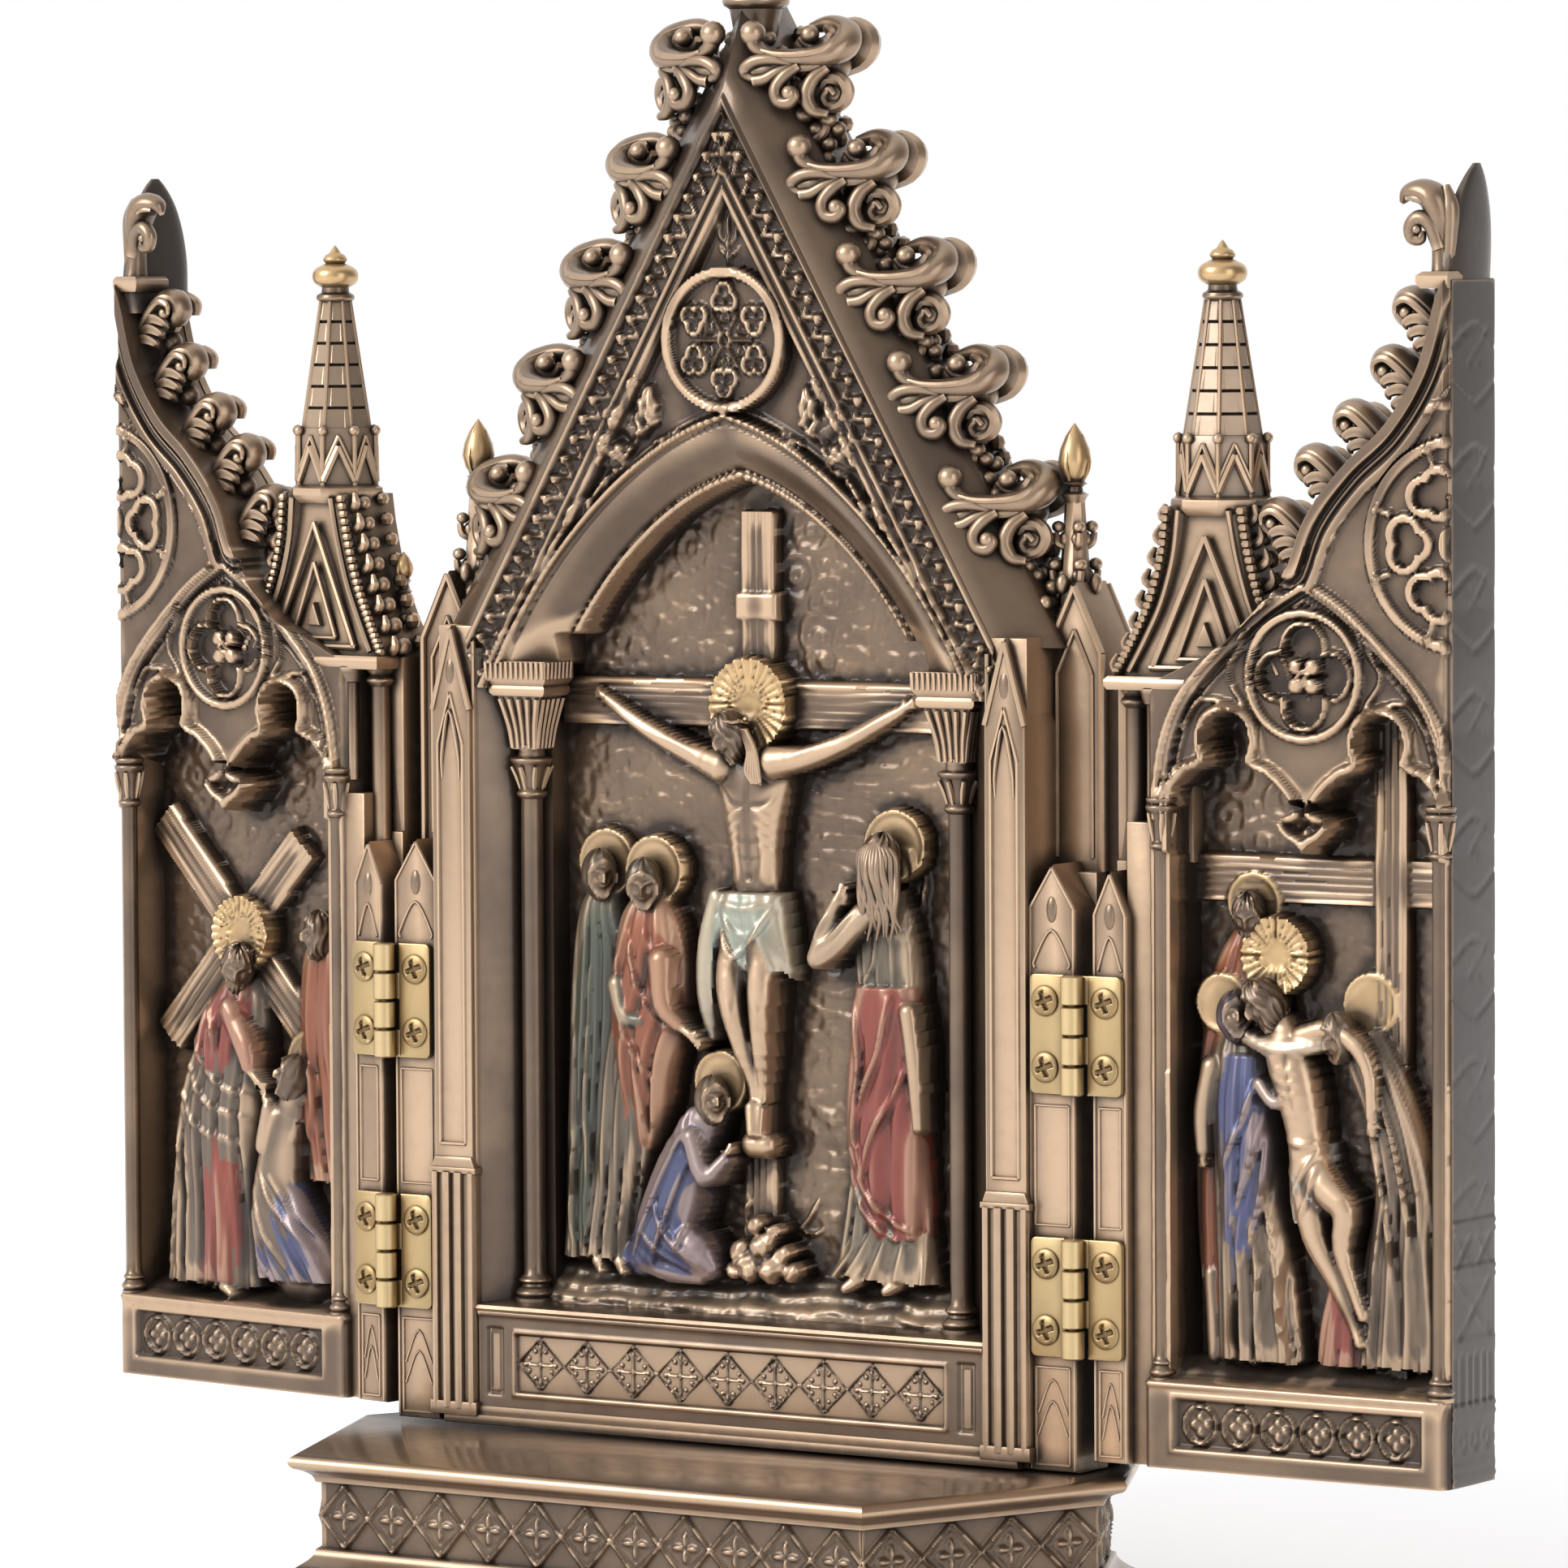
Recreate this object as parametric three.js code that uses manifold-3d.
// Table-top Gothic triptych altarpiece: a moulded base, a gabled centre casting with a
// deep relief niche, and two wings that swing on brass butt hinges.
// Millimetres, +Z up, front of the altarpiece towards -Y, origin at the middle of the underside.
import * as THREE from 'three';
import { mergeVertices } from 'three/addons/utils/BufferGeometryUtils.js';
import Module from 'manifold-3d';

const wasm = await Module();
wasm.setup();

// Driving dimensions
const BASE_HEIGHT = 23.5;
const SEAT_GAP = 0.3;
const BODY_Y = 8.5; // where the flat front plane of the centre stands
const BODY_DEPTH = 18;
const GABLE_APEX = 202.9; // heights of the centre are taken from its own foot
const GABLE_FOOT = 121;
const GABLE_HALF = 47.5;
const FINIAL_TOP = 238.2;
const NICHE_BACK = 11;
const WING_BOTTOM = 1.9;
const WING_THICK = 15;
const WING_EDGE = 61.4;
const WING_NICHE_BACK = 9;
const PIN_X = 62;
const PIN_PROUD = 2; // the pin axis stands this far in front of the stiles
const LEFT_SWING = 7.9; // degrees that each wing is swung back past straight, as it stands
const RIGHT_SWING = 0.3;
const HINGE_HEIGHT = 17.6;
const HINGE_FEET = [17.1, 55.8];
const KNUCKLE_RADIUS = 1.7;
const PIN_RADIUS = 0.7;
const LEAF_THICK = 0.8;
const LEAF_REACH = 7.8; // from the pin axis
const CLEARANCE = 0.3;
const SCREW_RADIUS = 2.3;
const SCREW_SIDES = 7;

const BRONZE = { color: 0x8c6f58, roughness: 0.42, metalness: 0.75 };
const BRASS = { color: 0xb39b62, roughness: 0.38, metalness: 0.9 };

// Closed meshes and solids

function solid(geometry) {
  const bare = new THREE.BufferGeometry();
  bare.setAttribute('position', geometry.getAttribute('position'));
  if (geometry.index) bare.setIndex(geometry.index);
  const merged = mergeVertices(bare, 1e-4);
  const corners = merged.index.array;
  const kept = [];
  for (let i = 0; i < corners.length; i += 3) {
    const [a, b, c] = [corners[i], corners[i + 1], corners[i + 2]];
    if (a !== b && b !== c && a !== c) kept.push(a, b, c);
  }
  return new wasm.Manifold(new wasm.Mesh({
    numProp: 3,
    vertProperties: new Float32Array(merged.getAttribute('position').array),
    triVerts: new Uint32Array(kept),
  }));
}

function join(...parts) {
  return parts.flat().reduce((whole, part) => whole.add(part));
}

function geometryOf(manifold, mirrored = false) {
  const mesh = manifold.getMesh();
  const positions = new Float32Array(mesh.vertProperties);
  const triangles = new Uint32Array(mesh.triVerts);
  if (mirrored) {
    for (let i = 0; i < positions.length; i += 3) positions[i] = -positions[i];
    for (let i = 0; i < triangles.length; i += 3) {
      [triangles[i + 1], triangles[i + 2]] = [triangles[i + 2], triangles[i + 1]];
    }
  }
  const geometry = new THREE.BufferGeometry();
  geometry.setAttribute('position', new THREE.BufferAttribute(positions, 3));
  geometry.setIndex(new THREE.BufferAttribute(triangles, 1));
  geometry.computeVertexNormals();
  return geometry;
}

// A flat outline in x and z, given thickness from the front y to the back y.
function slab(outline, front, back) {
  const shape = new THREE.Shape(outline.map(([x, z]) => new THREE.Vector2(x, z)));
  const geometry = new THREE.ExtrudeGeometry(shape, { depth: back - front, bevelEnabled: false, steps: 1 });
  geometry.rotateX(Math.PI / 2);
  geometry.translate(0, back, 0);
  return solid(geometry);
}

function block(x0, x1, y0, y1, z0, z1) {
  const geometry = new THREE.BoxGeometry(x1 - x0, y1 - y0, z1 - z0);
  geometry.translate((x0 + x1) / 2, (y0 + y1) / 2, (z0 + z1) / 2);
  return solid(geometry);
}

// Rings of equal count, skinned from the first to the last and closed with a fan at each end.
function loft(rings) {
  const count = rings[0].length;
  const positions = rings.flat().flatMap((p) => [p.x, p.y, p.z]);
  const index = [];
  for (let r = 0; r + 1 < rings.length; r += 1) {
    for (let k = 0; k < count; k += 1) {
      const next = (k + 1) % count;
      const [a, b, c, d] = [r * count + k, r * count + next, (r + 1) * count + next, (r + 1) * count + k];
      index.push(a, b, c, a, c, d);
    }
  }
  const ends = [[rings[0], 0, -1], [rings[rings.length - 1], (rings.length - 1) * count, 1]];
  for (const [ring, start, way] of ends) {
    const middle = ring.reduce((sum, p) => sum.add(p), new THREE.Vector3()).divideScalar(count);
    const hub = positions.length / 3;
    positions.push(middle.x, middle.y, middle.z);
    for (let k = 0; k < count; k += 1) {
      const next = (k + 1) % count;
      if (way > 0) index.push(hub, start + k, start + next);
      else index.push(hub, start + next, start + k);
    }
  }
  const geometry = new THREE.BufferGeometry();
  geometry.setAttribute('position', new THREE.BufferAttribute(new Float32Array(positions), 3));
  geometry.setIndex(index);
  return solid(geometry);
}

// A ring lying level at height z, drawn counter-clockwise from above.
function levelRing(x, y, z, radiusX, radiusY, sides, ripple = 0, turn = 0) {
  return Array.from({ length: sides }, (_, k) => {
    const angle = turn + (2 * Math.PI * k) / sides;
    const swell = 1 + ripple * (k % 2 === 0 ? 1 : -1);
    return new THREE.Vector3(x + radiusX * swell * Math.cos(angle), y + radiusY * swell * Math.sin(angle), z);
  });
}

// A turned form on a vertical axis, from [radius, height] pairs.
function turned(profile, x, y, sides = 8, flatten = 1) {
  return loft(profile.map(([radius, z]) => {
    return levelRing(x, y, z, Math.max(radius, 0.05), Math.max(radius, 0.05) * flatten, sides, 0, Math.PI / sides);
  }));
}

// A tapering limb of round section through a chain of [x, y, z, radius] stations.
function limb(stations, sides = 6) {
  const points = stations.map(([x, y, z]) => new THREE.Vector3(x, y, z));
  const rings = points.map((point, i) => {
    const before = points[Math.max(i - 1, 0)];
    const after = points[Math.min(i + 1, points.length - 1)];
    const along = after.clone().sub(before).normalize();
    const front = Math.abs(along.y) > 0.9 ? new THREE.Vector3(0, 0, 1) : new THREE.Vector3(0, 1, 0);
    const side = front.clone().cross(along).normalize();
    const up = along.clone().cross(side);
    return Array.from({ length: sides }, (_, k) => {
      const angle = (2 * Math.PI * k) / sides;
      return point.clone()
        .addScaledVector(side, stations[i][3] * Math.cos(angle))
        .addScaledVector(up, stations[i][3] * Math.sin(angle));
    });
  });
  return loft(rings);
}

function ball(x, y, z, radius, width = 6, rows = 4, tall = 1) {
  const geometry = new THREE.SphereGeometry(radius, width, rows);
  geometry.rotateX(Math.PI / 2);
  geometry.scale(1, 1, tall);
  geometry.translate(x, y, z);
  return solid(geometry);
}

// A round plate that faces the front.
function disc(x, z, radius, front, back, sides = 12) {
  const geometry = new THREE.CylinderGeometry(radius, radius, back - front, sides);
  geometry.translate(x, (front + back) / 2, z);
  return solid(geometry);
}

function bezier(from, pull1, pull2, to, count) {
  const curve = new THREE.CubicBezierCurve(
    new THREE.Vector2(...from), new THREE.Vector2(...pull1), new THREE.Vector2(...pull2), new THREE.Vector2(...to));
  return curve.getPoints(count).map((p) => [p.x, p.y]);
}

function mirroredOutline(half) {
  return half.map(([x, z]) => [-x, z]).reverse();
}

// Figures of the reliefs

function robe({ hem, neck, widths, depth, sway = 0, ripple = 0.1 }) {
  const count = widths.length;
  return loft(widths.map((width, i) => {
    const t = i / (count - 1);
    const x = hem[0] + (neck[0] - hem[0]) * t + sway * Math.sin(Math.PI * t);
    const y = hem[1] + (neck[1] - hem[1]) * t;
    const z = hem[2] + (neck[2] - hem[2]) * t;
    return levelRing(x, y, z, width, depth * (0.75 + 0.25 * Math.sin(Math.PI * t)), 6, ripple * (1 - t));
  }));
}

function head(x, y, z, radius) {
  return ball(x, y, z, radius, 6, 3, 1.25);
}

function halo(x, z, radius, front, back) {
  return disc(x, z, radius, front, back, 8);
}

function rocks(x0, x1, z, front, back, height) {
  const bumps = 6;
  const half = Array.from({ length: bumps + 1 }, (_, i) => {
    const x = x0 + ((x1 - x0) * i) / bumps;
    return [x, z + height * (0.55 + 0.45 * Math.abs(Math.sin(i * 2.1)))];
  });
  return slab([[x1, z - 1], ...half.reverse(), [x0, z - 1]].reverse(), front, back);
}

// Base

const FRIEZE_PLAN = [[-48.4, -29.5], [48.4, -29.5], [64.6, 9.5], [54.5, 29.5], [-54.5, 29.5], [-64.6, 9.5]];
const DIAMOND_PITCH = 8.8;
const FRIEZE_FOOT = 9;
const FRIEZE_TOP = 19.3;

function offsetPlan(plan, distance) {
  const count = plan.length;
  const edges = plan.map((p, i) => {
    const q = plan[(i + 1) % count];
    const length = Math.hypot(q[0] - p[0], q[1] - p[1]);
    const normal = [(q[1] - p[1]) / length, (p[0] - q[0]) / length];
    return { normal, reach: normal[0] * p[0] + normal[1] * p[1] + distance };
  });
  return plan.map((_, i) => {
    const a = edges[(i + count - 1) % count];
    const b = edges[i];
    const cross = a.normal[0] * b.normal[1] - a.normal[1] * b.normal[0];
    const x = (a.reach * b.normal[1] - b.reach * a.normal[1]) / cross;
    const y = (b.reach * a.normal[0] - a.reach * b.normal[0]) / cross;
    return [x, y];
  });
}

function baseSolid() {
  const profile = [
    [0, 5], [3.4, 5], [3.9, 4.3], [5, 4.6], [6.1, 3.9], [6.8, 2.6], [7.9, 1.2], [FRIEZE_FOOT, 0.7],
    [FRIEZE_FOOT + 0.1, 0], [FRIEZE_TOP - 0.1, 0], [FRIEZE_TOP, 0.7], [20.2, 1.1], [21.1, 2.5],
    [21.5, 3.9], [22.5, 4.3], [23.2, 3.9], [BASE_HEIGHT, 3.2],
  ];
  const rings = profile.map(([z, overhang]) => {
    return offsetPlan(FRIEZE_PLAN, overhang).map(([x, y]) => new THREE.Vector3(x, y, z));
  });
  return join(loft(rings), friezeDiamonds());
}

function friezeDiamonds() {
  const middle = (FRIEZE_FOOT + FRIEZE_TOP) / 2;
  const diamonds = [];
  FRIEZE_PLAN.forEach((from, i) => {
    const to = FRIEZE_PLAN[(i + 1) % FRIEZE_PLAN.length];
    const length = Math.hypot(to[0] - from[0], to[1] - from[1]);
    const count = Math.floor(length / DIAMOND_PITCH + 0.05);
    const along = Math.atan2(to[1] - from[1], to[0] - from[0]);
    for (let k = 0; k < count; k += 1) {
      const t = 0.5 + ((k - (count - 1) / 2) * DIAMOND_PITCH) / length;
      const stud = new THREE.ConeGeometry(DIAMOND_PITCH * 0.47, 1, 4);
      stud.translate(0, 0.3, 0);
      stud.rotateX(Math.PI);
      stud.rotateZ(along);
      stud.translate(from[0] + (to[0] - from[0]) * t, from[1] + (to[1] - from[1]) * t, middle);
      diamonds.push(solid(stud));
    }
  });
  return diamonds;
}

// Crockets, buds and pinnacles

// An S-scroll leaf that leans out from a raking edge: a curled outer hook round a pearl
// with front lobes. side is +1 on the right and -1 on the left.
function gableCrocket(x, z, side, size = 1) {
  const s = size;
  const at = (dx, dy, dz, r) => [x + side * dx * s, 12 + dy * s, z + dz * s, r * s];
  return join(
    limb([at(-9, -0.6, -7, 2.6), at(-5.8, -0.6, -1.6, 3.4), at(-2.2, 0, 0.6, 2.8), at(0, 0.4, -1.4, 1.8)], 4),
    limb([at(-9, -4.2, -2.5, 1.4), at(-6.2, -5, -0.2, 2), at(-3, -2.6, -4.6, 1.4)], 4),
  );
}

// A curled bud on a wing's ogee.
function wingCrocket(u, z, v = 7) {
  return join(
    limb([[u + 8, v, z - 3, 2], [u + 2.6, v, z - 2.4, 2.2], [u + 0.6, v, z + 0.6, 2]], 4),
  );
}

function pinnacle(x, y, foot, radius, height, budRadius) {
  const top = foot + height;
  return join(
    turned([[radius, foot - 2], [radius, foot + height * 0.08], [radius * 0.3, foot + height * 0.55],
      [radius * 0.55, foot + height * 0.58], [radius * 0.3, foot + height * 0.63],
      [budRadius * 0.6, top - budRadius * 3.1], [budRadius, top - budRadius * 2], [0.1, top]], x, y, 6),
    block(x - radius * 0.9, x + radius * 0.9, y - 1, y + 1, foot + height * 0.28, foot + height * 0.36),
  );
}

// Centre

const ABACUS_TOP = 117;
const ARCH_OUTER = { half: 42.3, foot: ABACUS_TOP, apex: 155.2, pull1: [34, 133], pull2: [17.5, 151] };
const ARCH_INNER = { half: 32, foot: ABACUS_TOP, apex: 145.2, pull1: [25.6, 129.5], pull2: [13.4, 142] };
const ROSETTE_Z = 166;
const ROSETTE_RADIUS = 11.1;
const CENTRE_CROCKETS = [[16.5, 209.5], [24.7, 192.5], [33.3, 176.5], [42.2, 160.5], [51, 143.5]];

function archOutline(arch, foot) {
  const right = bezier([arch.half, arch.foot], arch.pull1, arch.pull2, [0, arch.apex], 5);
  return [[-arch.half, foot], [arch.half, foot], ...right, ...mirroredOutline(right).slice(1)];
}

function gableOutline(half, foot, apex) {
  return [[-half, foot], [half, foot], [0, apex]];
}

function centreShell() {
  const toRing = (outline, y) => outline.map(([x, z]) => new THREE.Vector3(x, y, z));
  const front = gableOutline(GABLE_HALF, GABLE_FOOT, GABLE_APEX);
  const wide = gableOutline(55.6, GABLE_FOOT - 0.2, 216.6);
  const roof = loft([toRing(front, 0.5), toRing(wide, 6), toRing(wide, BODY_DEPTH)].reverse());
  const trunk = block(-53, 53, 0.5, BODY_DEPTH, 0, GABLE_FOOT + 2);
  const foot = block(-52, 52, -1.4, BODY_DEPTH, 0, 3);
  const predella = block(-45.6, 45.6, -0.6, 2, 0, 17.7);
  const collar = turned([[3.4, 211], [4.2, 215.8], [5, 216.6], [4.4, 218.4], [3, 219]], 0, 9.5, 8);
  const finial = join(
    turned([[2.2, 218], [1.7, 221], [2.4, 222], [3.4, 230], [2.2, 234.5], [0.6, FINIAL_TOP]], 0, 9.5, 6),
    [-1, 1].map((side) => limb([[side * 1, 9.5, 222, 1.5], [side * 4, 9, 225, 1.7], [side * 6.6, 8.6, 228.4, 1.5],
      [side * 5.4, 8.4, 230.6, 0.9]], 5)),
    [-1, 1].map((side) => limb([[0, 9.5 + side, 222, 1.5], [0, 9.5 + side * 3.6, 225.6, 1.7], [0, 9.5 + side * 5, 228.4, 1]], 5)),
  );
  return join(roof, trunk, foot, predella, collar, finial);
}

function centreCuts() {
  const splay = (half, y) => [
    new THREE.Vector3(-half, y, 18.6), new THREE.Vector3(half, y, 18.6),
    new THREE.Vector3(half, y, 112), new THREE.Vector3(-half, y, 112)];
  const sill = loft([splay(46.2, -0.2), splay(41.5, 5), splay(41.5, 6.5)].reverse());
  const deep = slab(archOutline({ ...ARCH_INNER, half: 36, foot: 108 }, 20.5), 5, NICHE_BACK);
  const band = (arch, y) => archOutline(arch, 108).map(([x, z]) => new THREE.Vector3(x, y, z));
  const outer = { ...ARCH_OUTER, half: 40.8, apex: 153.6 };
  const archivolt = loft([band(outer, 0.2), band(ARCH_INNER, 4.5), band(ARCH_INNER, 7)].reverse());
  const field = slab([[-35, 127], [0, 187.4], [35, 127]].reverse(), -1, 2);
  const below = slab(archOutline({ ...ARCH_OUTER, half: 44, apex: 157 }, 100), -2, 4);
  const panel = block(-38.6, 38.6, -3, 0.2, 5.4, 14.1);
  const sides = [-1, 1].map((side) => block(side * 43.9 - 1.6, side * 43.9 + 1.6, -3, 0.2, 5, 15));
  return join(sill, deep, archivolt, field.subtract(below), panel, sides);
}

function pilaster(side) {
  const x = side * 49.9;
  const outline = [[x - 3.6, 2], [x + 3.6, 2], [x + 3.6, 109.5], [x, 122.4], [x - 3.6, 109.5]];
  const lower = [[x - 4, 0], [x + 4, 0], [x + 4, 39], [x + 3.4, 40.6], [x - 3.4, 40.6], [x - 4, 39]];
  const lancet = [[x - 2.2, 43], [x + 2.2, 43], [x + 2.2, 104], [x, 109.4], [x - 2.2, 104]];
  const ribs = [-2.2, 0, 2.2].map((dx) => block(x + dx - 0.6, x + dx + 0.6, -2, 0, 2, 39));
  return join(slab(outline, -1, 8).subtract(slab(lancet, -2, -0.5)), slab(lower, -1.4, 7), ribs);
}

function stile(x, z0, half, apex, depth) {
  const shoulder = apex - 6.4;
  const outline = [[x - half, z0], [x + half, z0], [x + half, shoulder], [x, apex], [x - half, shoulder]];
  return slab(outline, 0, depth).subtract(block(x - 2.2, x + 2.2, -1, 0.4, 37, 53.5));
}

function sideTower(side) {
  const x = side * 56.6;
  const outline = [[x - 5, 0], [x + 5, 0], [x + 5, 120], [x, 130.4], [x - 5, 120]];
  const panel = [[x - 3, 92], [x + 3, 92], [x + 3, 117], [x, 123], [x - 3, 117]];
  return join(
    slab(outline, 8, 17.2).subtract(slab(panel, 7, 8.7)).subtract(slab(panel, 16.4, 18)),
    pinnacle(side * 53.9, 12.6, 119, 5, 34.7, 2.5),
  );
}

function column(x, y, foot, capFoot, top, radius, sides = 6) {
  return turned([
    [radius * 1.8, foot], [radius, foot + 4], [radius, capFoot], [radius * 1.7, top],
  ], x, y, sides);
}

function nicheColumn(side) {
  const x = side * 38.6;
  const plan = (half, y0, y1, z) => [
    new THREE.Vector3(x - half, y0, z), new THREE.Vector3(x + half, y0, z),
    new THREE.Vector3(x + half, y1, z), new THREE.Vector3(x - half, y1, z)];
  const capital = loft([plan(2.3, 3, 7, 102), plan(3.7, 1.6, 7, 111.6), plan(4.9, 1.2, 7.2, 112.4),
    plan(4.9, 1.2, 7.2, 114), plan(5.7, 0.6, 7.4, 114.4), plan(5.7, 0.6, 7.4, ABACUS_TOP)]);
  return join(column(x, 4.6, 18.5, 96.4, 103, 1.7), capital);
}

function crucifixion() {
  const cross = join(
    block(-3.1, 3.1, 8.4, 12, 24, 140.3),
    block(-35.9, 35.9, 8.8, 12, 107.2, 114.8),
    block(-3.9, 3.9, 7.8, 9, 123.6, 128.2),
  );
  const christ = join(
    limb([[-3, 5, 100, 2.2], [-16.5, 6, 106.4, 1.5], [-27, 7.4, 111.8, 1.2]], 5),
    limb([[3, 5, 101, 2.2], [17, 6, 106.2, 1.5], [27, 7.4, 111.2, 1.2]], 5),
    loft([levelRing(0.4, 6.2, 80, 3.9, 3.2, 7), levelRing(0.2, 5.4, 91, 5, 3.6, 7),
      levelRing(0, 5, 98, 6.6, 3.8, 7), levelRing(0, 5.2, 103.2, 5.2, 3, 7)]),
    loft([levelRing(-0.6, 6, 70.4, 4.2, 2.8, 8, 0.1), levelRing(0, 5.8, 82, 5, 3.8, 8)]),
    limb([[-1.8, 6, 72, 2.7], [-1.6, 4.6, 64.6, 2.1], [1, 6.6, 50.4, 1.1], [0.6, 5.2, 47.6, 1.2]], 5),
    limb([[2.2, 6, 72, 2.7], [2.6, 4.8, 65, 2.1], [1.8, 6.4, 50, 1.1], [1.6, 5, 47, 1.2]], 5),
    head(-1.6, 3.8, 106.6, 2.9),
    halo(0, 111, 7, 4.6, 8.8),
  );
  const lady1 = join(
    robe({ hem: [-31, 8.5, 25], neck: [-29, 8.2, 81.6], widths: [6, 5.3, 5.4, 4.6, 2.4], depth: 4 }),
    head(-28, 6.6, 84.4, 3),
    halo(-27.8, 86.6, 5.2, 8.2, NICHE_BACK + 1),
  );
  const lady2 = join(
    robe({ hem: [-20, 7, 30], neck: [-18.4, 6.2, 80.4], widths: [4.4, 5, 5.6, 5.4, 2.6], depth: 4.6, sway: 1 }),
    limb([[-14.6, 4.6, 72, 2.2], [-8.6, 3.8, 60.6, 1.2]], 4),
    head(-18.5, 5, 83.4, 3),
    halo(-18, 85.6, 5.3, 7, NICHE_BACK + 1),
  );
  const kneeling = join(
    limb([[-22, 7, 25.4, 2.6], [-14.6, 5.6, 31, 5.4], [-10.6, 5, 41, 4.4], [-7, 4.8, 49, 2.6]], 7),
    limb([[-14, 5, 31, 4], [-6, 4.4, 25.4, 2.2]], 6),
    limb([[-10, 3.8, 44, 2], [-6, 3.2, 38.4, 1.6], [-2, 3.6, 40, 1]], 4),
    head(-5.8, 4.6, 51.4, 2.8),
    halo(-5.4, 54, 4.8, 6.4, NICHE_BACK + 1),
  );
  const mourner = join(
    robe({ hem: [23.6, 7.6, 25], neck: [23.4, 7, 84], widths: [7.6, 6.6, 6, 5.8, 2.8], depth: 4.6, sway: 1.2, ripple: 0.12 }),
    limb([[20.4, 5, 78, 2], [13.8, 3.8, 73.8, 1.9], [17.4, 3.6, 83.2, 1.2]], 5),
    head(24.4, 5.2, 88.6, 3.2),
    halo(25.4, 91, 5.3, 7.2, NICHE_BACK + 1),
  );
  const heap = join(
    ball(2.4, 7, 28, 5.8, 7, 4, 1),
    ball(4.4, 4, 30, 2.4, 5, 3),
  );
  const wall = block(-37, 37, NICHE_BACK - 0.4, NICHE_BACK + 1, 19, 120);
  const ground = rocks(-36.4, 36.4, 19.6, 2.4, NICHE_BACK + 1, 5);
  return join(cross, christ, lady1, lady2, kneeling, mourner, heap, ground, wall);
}

function rosette() {
  const plate = disc(0, ROSETTE_Z, ROSETTE_RADIUS, -0.6, 3, 16);
  const sunk = disc(0, ROSETTE_Z, ROSETTE_RADIUS - 1.3, -2, 0.3, 16);
  const lobes = Array.from({ length: 24 }, (_, k) => {
    const reach = k % 4 === 0 ? 4.6 : 8.8;
    const angle = (k * Math.PI) / 12;
    return [reach * Math.cos(angle), ROSETTE_Z + reach * Math.sin(angle)];
  });
  return join(plate.subtract(sunk), slab(lobes, -0.4, 1));
}

function gableLeaves() {
  return [-1, 1].map((side) => {
    return limb([[side * 10, 2, 157, 0.9], [side * 14, 1.8, 156.4, 1.8], [side * 19, 1.8, 149.6, 1.8], [side * 24, 2, 142, 1.1]], 4);
  }).concat(limb([[0, 2, 178, 0.5], [0, 1.6, 182, 1.1], [0, 2, 185.6, 0.3]], 4));
}

function centreSolid() {
  const leftover = [-1, 1].map((side) => block(side * 57 - 4.6, side * 57 + 4.6, 6, 17.2, 0, 86));
  const shell = join(centreShell(), leftover).subtract(centreCuts());
  const crockets = CENTRE_CROCKETS.flatMap(([x, z]) => [1, -1].map((side) => gableCrocket(side * x, z, side)));
  return join(
    shell,
    crucifixion(),
    rosette(),
    gableLeaves(),
    [-1, 1].map((side) => join(pilaster(side), nicheColumn(side), sideTower(side), stile(side * 57.4, 0, 4.1, 89.4, 9.5))),
    crockets,
  );
}

// Wings, drawn in u outward from the hinge, v back from the stile plane, and height z

const OGEE = [[61.4, 175], [59.7, 174.4], [59, 171.6], [56.1, 162], [50.8, 154], [43.9, 148], [37.8, 140.6], [33.4, 131]];
const WING_ARCH = { middle: 37.2, half: 24, foot: 99, apex: 130.9 };
const QUATREFOIL_Z = 117.8;
const TURRET_U = 19.6;
const TURRET_V = 8.6;
const ROSE_U = 63.2;
const ROSE_Z = 137;

function wingArchOutline(inset, foot) {
  const { middle, half, apex } = WING_ARCH;
  const right = bezier([half - inset, WING_ARCH.foot], [half - inset - 1, 112], [14 - inset * 0.5, 124], [0, apex - inset * 1.2], 4);
  const whole = [[-(half - inset), foot], [half - inset, foot], ...right, ...mirroredOutline(right).slice(1)];
  return whole.map(([x, z]) => [x + middle, z]);
}

// The opening under the tracery: two cusped lancets with a pendant hanging between them.
function traceryOpening(foot) {
  const right = [
    [22, foot], [22, 98.6], [19.3, 103.4], [16.4, 104.6], [15.9, 106.4], [16.2, 109.6], [14.4, 111.8], [10.8, 111.6],
    [9.2, 109.6], [9.6, 106.6], [9.2, 104.6], [6.4, 103.4], [3.4, 101.4], [1.6, 98.4], [3.9, 96.2], [2.2, 93.4], [0, 92.2],
  ];
  return [...right, ...mirroredOutline(right).slice(1)].map(([x, z]) => [x + WING_ARCH.middle, z]);
}

function wingShell() {
  const outline = [[11, WING_BOTTOM], [WING_EDGE, WING_BOTTOM], ...OGEE, [24.4, 122], [17.4, 118], [11, 118]];
  const toRing = (inset, v) => [
    new THREE.Vector3(WING_EDGE - inset, v, WING_BOTTOM - 1), new THREE.Vector3(WING_EDGE + 3, v, WING_BOTTOM - 1),
    new THREE.Vector3(WING_EDGE + 3, v, 200), new THREE.Vector3(WING_EDGE - inset, v, 200)];
  const edgeCut = loft([toRing(1.2, 0), toRing(0, 1.7), toRing(0.3, 8), toRing(1.2, WING_THICK + 3)].reverse());
  const tip = slab([[56.6, 172], [61.4, 172], [61.4, 184], [61, 188.6], [60.2, 191.4], [59, 187], [57.6, 178]], 6, WING_THICK);
  const side = slab([[3, WING_BOTTOM], [12, WING_BOTTOM], [12, 118], [3, 90]], 5.5, WING_THICK);
  return join(slab(outline, 0.6, WING_THICK), tip, side).subtract(edgeCut);
}

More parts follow.
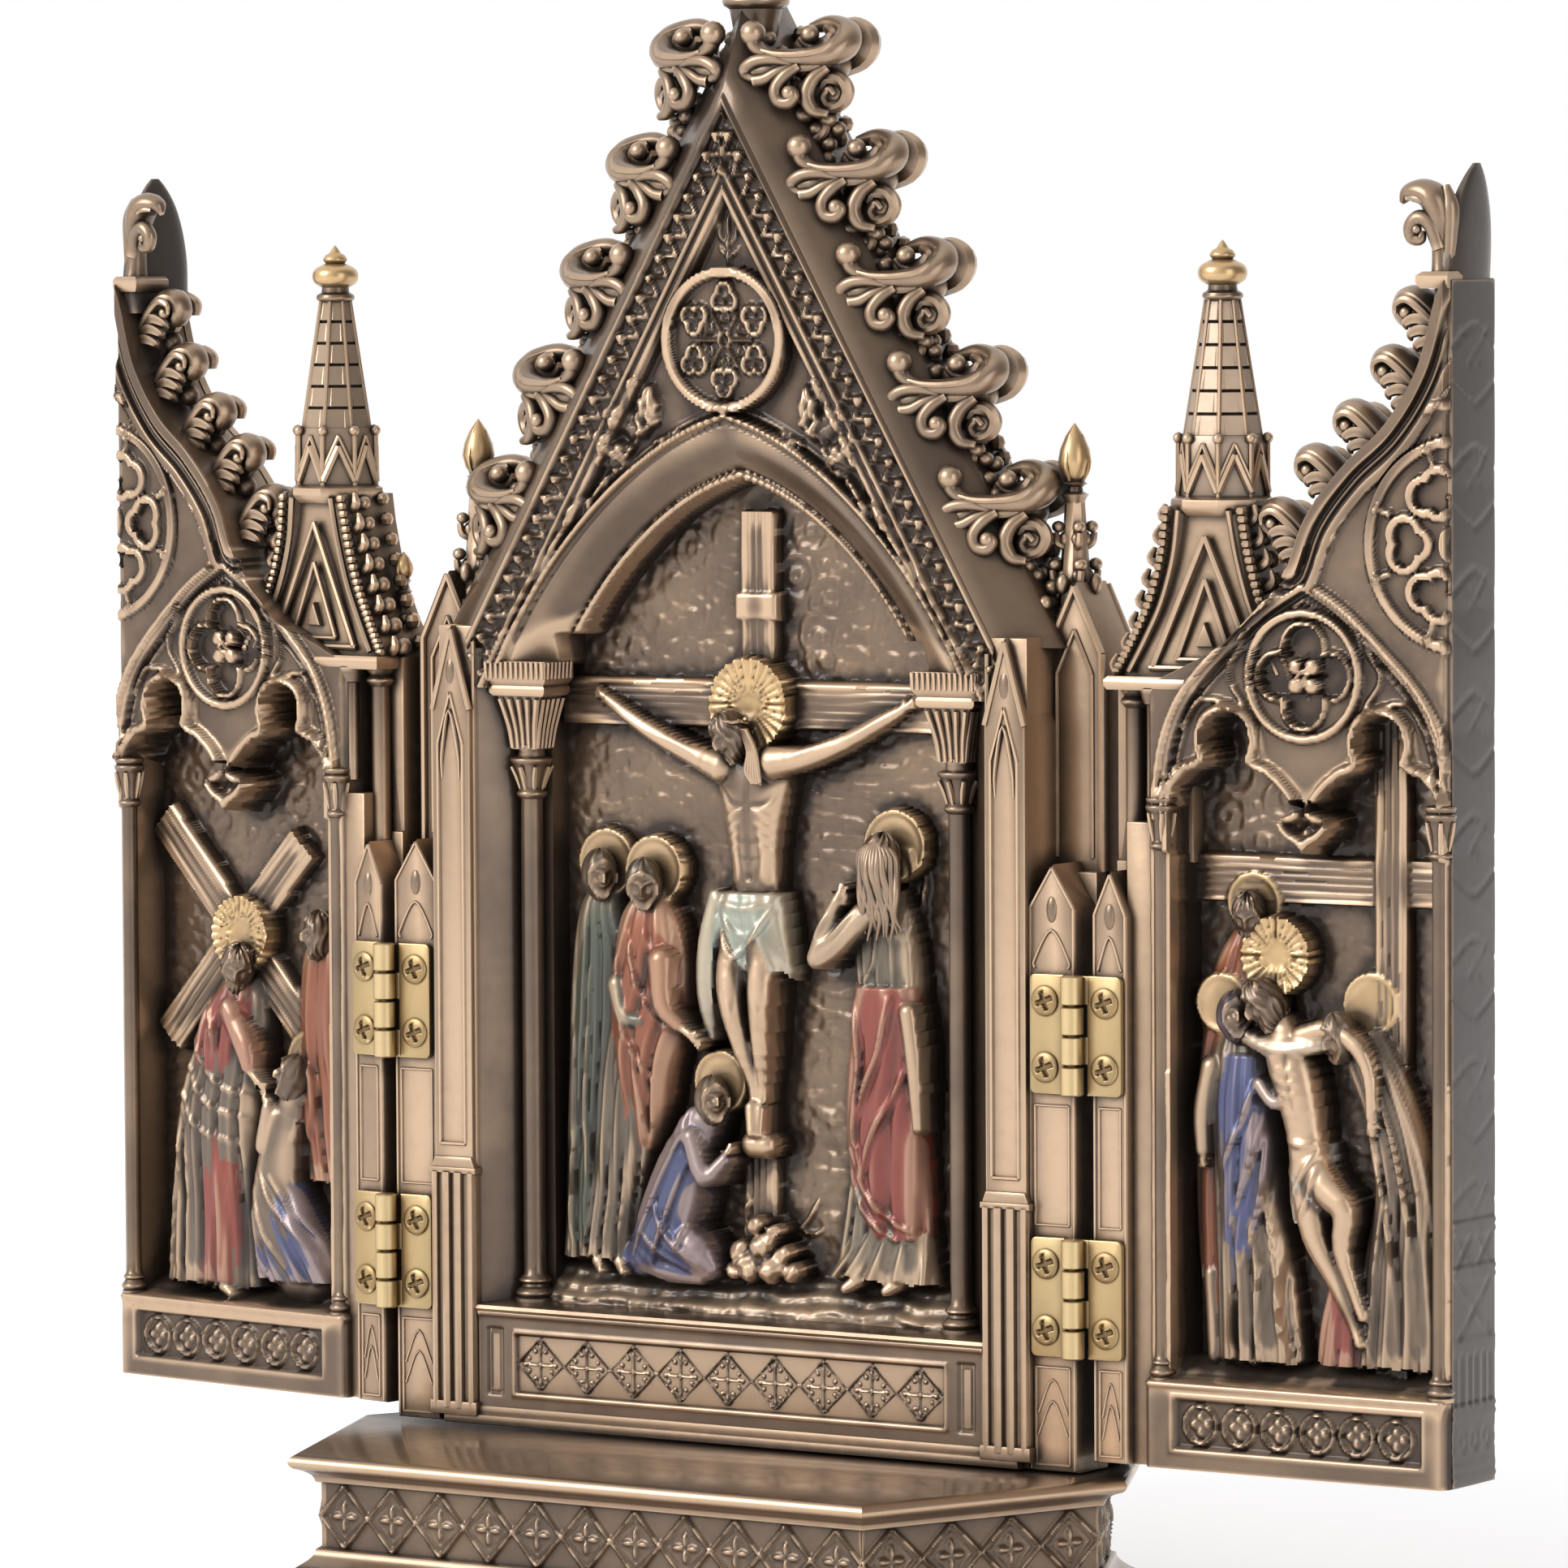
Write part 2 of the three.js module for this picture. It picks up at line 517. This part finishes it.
function turret() {
  const flat = (halfU, z, front = 2) => [
    new THREE.Vector3(TURRET_U - halfU, front, z), new THREE.Vector3(TURRET_U + halfU, front, z),
    new THREE.Vector3(TURRET_U + halfU, WING_THICK, z), new THREE.Vector3(TURRET_U - halfU, WING_THICK, z)];
  const gablet = loft([flat(15, 116.6), flat(14.4, 119), flat(10.4, 126), flat(7.8, 134), flat(6.4, 142)]);
  const inner = slab([[-6.4, 120.4], [6.4, 120.4], [0, 138]].map(([x, z]) => [x + TURRET_U, z]), 0, 2.9);
  const spire = turned([[6.4, 140], [7, 141.6], [7, 142.8], [6.6, 143.2], [6.6, 151], [5.7, 152.6], [2.4, 172],
    [3, 172.4], [2.2, 173.8], [3.5, 175.2], [3.5, 176.6], [1.6, 178], [0.3, 180.4]], TURRET_U, TURRET_V, 8, 0.94);
  const shaft = turned([[2, 84], [2, 114.4], [2.9, 115], [2.9, 117], [1.8, 117.4]], 6.9, 8, 6);
  return join(gablet.subtract(inner), spire, shaft, wingBackPinnacle());
}

// The outer corner beside the hinge carries a pinnacle that shows past the edge of the wing.
function wingBackPinnacle() {
  const gable = [[4, 84], [12.4, 84], [12.4, 102], [8.2, 110], [4, 102]];
  return join(slab(gable, 10, WING_THICK), pinnacle(8.4, 12.4, 104, 2.5, 29, 1.5));
}

function halfRose() {
  const ring = disc(ROSE_U, ROSE_Z, 15.4, 0, 2, 20).subtract(disc(ROSE_U, ROSE_Z, 13.6, -1, 3, 20));
  const wheel = disc(ROSE_U, ROSE_Z, 12.6, 0.1, 2, 16);
  const cells = [[58.6, 144], [54.8, 137], [58.6, 130]].map(([u, z]) => disc(u, z, 2.8, -1, 3, 5));
  const hub = disc(ROSE_U, ROSE_Z, 3, -1, 3, 8);
  const clip = block(WING_EDGE - 30, WING_EDGE - 1.1, -1, 4, 100, 170);
  return join(ring, wheel.subtract(join(cells, hub))).intersect(clip);
}

function ogeeRib(shiftU, shiftZ, radius) {
  return limb(OGEE.slice(2).map(([u, z]) => [u + shiftU, 0.8, z + shiftZ, radius]), 4);
}

function wingFrame() {
  const arch = slab(wingArchOutline(0, 98), 0, 2).subtract(slab(wingArchOutline(2.2, 97), -1, 0.9));
  const quatrefoil = disc(WING_ARCH.middle, QUATREFOIL_Z, 9.6, 0, 2, 12)
    .subtract(disc(WING_ARCH.middle, QUATREFOIL_Z, 8.2, -1, 0.8, 12));
  const cross = slab(Array.from({ length: 16 }, (_, k) => {
    const reach = k % 4 === 0 ? 4 : 7.2;
    const angle = (k + 2) * (Math.PI / 8);
    return [WING_ARCH.middle + reach * Math.cos(angle), QUATREFOIL_Z + reach * Math.sin(angle)];
  }), 0.1, 1.5);
  const lipHalf = [[23.2, 98], [23.2, 101], [19.6, 105.4], [17.8, 107], [17.6, 111], [14.4, 113.6], [10.6, 113.4],
    [7.6, 110.4], [7.8, 107], [5.4, 105], [0, 104.6]];
  const pendantHalf = [[2.2, 93.4], [3.9, 96.2], [1.6, 98.4], [3.4, 101.4], [0, 106]];
  const lipOutline = [...lipHalf, ...mirroredOutline(lipHalf).slice(1)];
  const pendantOutline = [[0, 92.2], ...pendantHalf, ...mirroredOutline(pendantHalf).slice(1)];
  const toWing = (outline) => outline.map(([x, z]) => [x + WING_ARCH.middle, z]);
  const lip = [slab(toWing(lipOutline), 0, 2), slab(toWing(pendantOutline), 0, 2)];
  const plinth = block(11, WING_EDGE - 1.3, -0.3, 2, WING_BOTTOM, 14.6).subtract(block(16, 57, -1, 0.5, 5.2, 12));
  const roundels = [0, 1, 2, 3, 4, 5].map((k) => disc(20.4 + k * 6.5, 8.6, 2.6, -0.1, 1, 4));
  return join(arch, quatrefoil, cross, lip, plinth, roundels);
}

function wingCuts() {
  const opening = slab(traceryOpening(15), -1, WING_NICHE_BACK);
  const hollow = slab(wingArchOutline(3.4, 15).map(([u, z]) => [u, Math.min(z, 110)]), 3, WING_NICHE_BACK);
  const lancets = [22, 37.4, 52.8].map((u) => slab(
    [[u - 5.4, 10], [u + 5.4, 10], [u + 5.4, 88], [u + 3.2, 95], [u, 99.4], [u - 3.2, 95], [u - 5.4, 88]],
    WING_THICK - 1, WING_THICK + 2));
  const halfPortal = disc(WING_EDGE, 122, 16, WING_THICK - 0.9, WING_THICK + 2, 20);
  return join(opening, hollow, lancets, halfPortal);
}

function wingSolid(relief) {
  const crockets = [[51, 171], [47.4, 162.6], [41.2, 154.8], [34.8, 148.4], [28.9, 140.6]];
  const leaf = join(
    limb([[58.2, 5, 174, 2.4], [57.8, 4.6, 178, 1.7], [57.2, 4.2, 182, 1.9], [54, 4, 186.6, 1.7], [52.6, 4, 184.6, 0.9]], 5),
    limb([[59.2, 5, 180, 2], [59, 5, 186, 1.9], [56, 5, 188.4, 1]], 4),
      );
  const clip = block(-1, WING_EDGE - 0.2, -2, WING_THICK + 2, 0, 220);
  return join(
    join(wingShell(), wingFrame()).subtract(wingCuts()),
    stile(5.3, WING_BOTTOM, 3, 88.7, 9),
    block(7.6, 12, 1.4, 8, WING_BOTTOM, 96),
    turret(),
    halfRose(),
    ogeeRib(1.2, -1.4, 1),
    ogeeRib(4.6, -6, 0.9).intersect(clip),
    column(13.2, 1.9, 14.2, 92.4, 99, 1.3),
    column(59.2, 1.9, 14.2, 92.4, 99, 1.3),
    crockets.map(([u, z]) => wingCrocket(u, z)),
    leaf,
    relief,
    rocks(15.4, 58.8, 14.2, 2.6, WING_NICHE_BACK + 1, 3),
  );
}

function carryingRelief() {
  const beam = (from, to, half) => {
    const dx = to[0] - from[0];
    const dz = to[1] - from[1];
    const length = Math.hypot(dx, dz);
    const [nx, nz] = [(-dz / length) * half, (dx / length) * half];
    return slab([[from[0] + nx, from[1] + nz], [from[0] - nx, from[1] - nz], [to[0] - nx, to[1] - nz],
      [to[0] + nx, to[1] + nz]], 6.6, WING_NICHE_BACK + 1);
  };
  return join(
    beam([57, 90.4], [24, 56], 3.4).intersect(block(14, 58.6, 0, 12, 15, 100)),
    beam([27.4, 88], [55, 58], 3.4),
    robe({ hem: [45, 6, 16], neck: [40, 5, 65.4], widths: [8.4, 7.6, 6.8, 5.8, 2.8], depth: 4.4, ripple: 0.12 }),
    limb([[39, 4, 58, 2.4], [32.8, 3, 49.8, 1.3]], 5),
    head(38, 3.6, 67.8, 3.1),
    halo(38.4, 72.4, 6.2, 5.4, WING_NICHE_BACK + 1),
    limb([[27, 6.8, 20, 6], [31, 6.2, 30, 5.6], [26, 4.2, 49, 2.4]], 7),
    limb([[29.6, 3.4, 40, 2], [30.4, 3, 46, 1.1]], 4),
    head(25.6, 4, 50.8, 2.7),
    halo(24.8, 53.2, 4.6, 5.6, WING_NICHE_BACK + 1),
    robe({ hem: [21.4, 7.4, 30], neck: [21.8, 7, 71], widths: [5, 5, 4.8, 2.4], depth: 3.4 }),
    head(21.8, 6, 73.4, 2.8),
  );
}

function loweringRelief() {
  const wall = WING_NICHE_BACK + 1;
  return join(
    block(15, 58.6, 8.7, wall, 15, 104),
    block(45.4, 51.2, 6.8, wall, 30, 104),
    block(15, 58.6, 7.4, wall, 84.4, 91.6),
    robe({ hem: [20.6, 7.8, 17], neck: [24.4, 7, 80.4], widths: [4.6, 5.6, 5, 2.6], depth: 3.6 }),
    limb([[24.8, 7.8, 76, 2.7], [25.6, 7.6, 83, 2.7]], 5),
    head(25.4, 5.6, 82.6, 2.8),
    halo(25.6, 84.8, 4.5, 7, wall),
    limb([[29.4, 3.8, 66.6, 2.2], [32.8, 3.6, 61, 3.8], [36, 4, 47, 3.6]], 6),
    limb([[36, 3.6, 47, 3], [42.6, 3, 40.4, 2.2], [45.4, 3.6, 25, 1.3]], 5),
    limb([[35.6, 4.6, 46, 3], [38, 4, 35, 2.2], [43, 4.4, 23, 1.3]], 5),
    limb([[33, 4.6, 64.6, 1.7], [45.6, 3.8, 64, 1.6], [47, 3.6, 51, 1]], 4),
    head(29.2, 3.4, 69.6, 2.9),
    halo(30, 76, 5.8, 5.6, wall),
    robe({ hem: [25.6, 6, 17], neck: [23.6, 5, 65.6], widths: [5.6, 5.4, 5.4, 2.4], depth: 4.2 }),
    head(23.6, 3.8, 67.8, 2.7),
    halo(21.4, 69.6, 4.4, 6, wall),
    robe({ hem: [50.6, 6.4, 17], neck: [41.8, 6, 64], widths: [7.4, 7.2, 6.4, 2.6], depth: 4, sway: 2.4 }),
    head(41.4, 4.4, 65.6, 2.8),
    halo(44.6, 69.6, 4.6, 6.6, wall),
  );
}

// Hinges: a leaf with two knuckles on each side of a loose pin

function knuckleRanges(owner) {
  const length = HINGE_HEIGHT / 4;
  return [0, 1, 2, 3].filter((k) => k % 2 === (owner === 'body' ? 0 : 1)).map((k) => [
    k * length + (k === 0 ? 0 : CLEARANCE / 2), (k + 1) * length - (k === 3 ? 0 : CLEARANCE / 2)]);
}

function leafSolid(owner) {
  const plateBack = PIN_PROUD - CLEARANCE;
  const plateFront = plateBack - LEAF_THICK;
  const inner = KNUCKLE_RADIUS + CLEARANCE;
  const plate = block(inner, LEAF_REACH, plateFront, plateBack, 0, HINGE_HEIGHT);
  const bore = knuckleTube(PIN_RADIUS + CLEARANCE, -1, HINGE_HEIGHT + 1, 5);
  const knuckles = knuckleRanges(owner).map(([z0, z1]) => join(
    knuckleTube(KNUCKLE_RADIUS, z0, z1),
    block(0.4, inner + 0.4, plateFront, plateBack, z0, z1),
  ));
  return join(plate, knuckles).subtract(bore);
}

function knuckleTube(radius, z0, z1, sides = 6) {
  const geometry = new THREE.CylinderGeometry(radius, radius, z1 - z0, sides);
  geometry.rotateX(Math.PI / 2);
  geometry.translate(0, 0, (z0 + z1) / 2);
  return solid(geometry);
}

function screwSolid() {
  const front = PIN_PROUD - CLEARANCE - LEAF_THICK - CLEARANCE;
  const rings = [[SCREW_RADIUS, 0], [SCREW_RADIUS * 0.6, -0.5]].map(([radius, out]) => {
    return Array.from({ length: SCREW_SIDES }, (_, k) => {
      const angle = (2 * Math.PI * k) / SCREW_SIDES;
      return new THREE.Vector3(radius * Math.cos(angle), front + out, -radius * Math.sin(angle));
    });
  });
  return loft(rings.reverse());
}

// Scene graph

function piece(name, geometry, look, parent, position = [0, 0, 0]) {
  const mesh = new THREE.Mesh(geometry, new THREE.MeshStandardMaterial(look));
  mesh.name = name;
  mesh.position.set(...position);
  parent.add(mesh);
  return mesh;
}

const altarpiece = new THREE.Group();
piece('base', geometryOf(baseSolid()), BRONZE, altarpiece);

const centre = new THREE.Group();
centre.position.set(0, BODY_Y, BASE_HEIGHT + SEAT_GAP);
altarpiece.add(centre);
piece('body', geometryOf(centreSolid()), BRONZE, centre);

const reliefs = { left: carryingRelief(), right: loweringRelief() };
const swings = { left: -LEFT_SWING, right: RIGHT_SWING };
const screwPlaces = [3.9, HINGE_HEIGHT - 3.9];
const screwReach = 5.1;

for (const [name, side] of [['left', -1], ['right', 1]]) {
  const pinGroup = new THREE.Group();
  pinGroup.position.set(side * PIN_X, -PIN_PROUD, 0);
  centre.add(pinGroup);
  const wing = new THREE.Group();
  wing.rotation.z = THREE.MathUtils.degToRad(swings[name]);
  pinGroup.add(wing);
  piece(`${name}_wing`, geometryOf(wingSolid(reliefs[name]), side < 0), BRONZE, wing, [0, PIN_PROUD, 0]);

  HINGE_FEET.forEach((foot, level) => {
    const place = `${name}_${level === 0 ? 'lower' : 'upper'}_hinge`;
    piece(`${place}_body_leaf`, geometryOf(leafSolid('body'), side > 0), BRASS, pinGroup, [0, 0, foot]);
    piece(`${place}_wing_leaf`, geometryOf(leafSolid('wing'), side < 0), BRASS, wing, [0, 0, foot]);
    piece(`${place}_pin`, geometryOf(knuckleTube(PIN_RADIUS * 0.8, 0, HINGE_HEIGHT, 5)), BRASS, pinGroup, [0, 0, foot]);
    screwPlaces.forEach((height, row) => {
      const end = row === 0 ? 'bottom' : 'top';
      const screw = geometryOf(screwSolid());
      piece(`${place}_body_screw_${end}`, screw, BRASS, pinGroup, [-side * screwReach, 0, foot + height]);
      piece(`${place}_wing_screw_${end}`, screw.clone(), BRASS, wing, [side * screwReach, 0, foot + height]);
    });
  });
}

export default altarpiece;
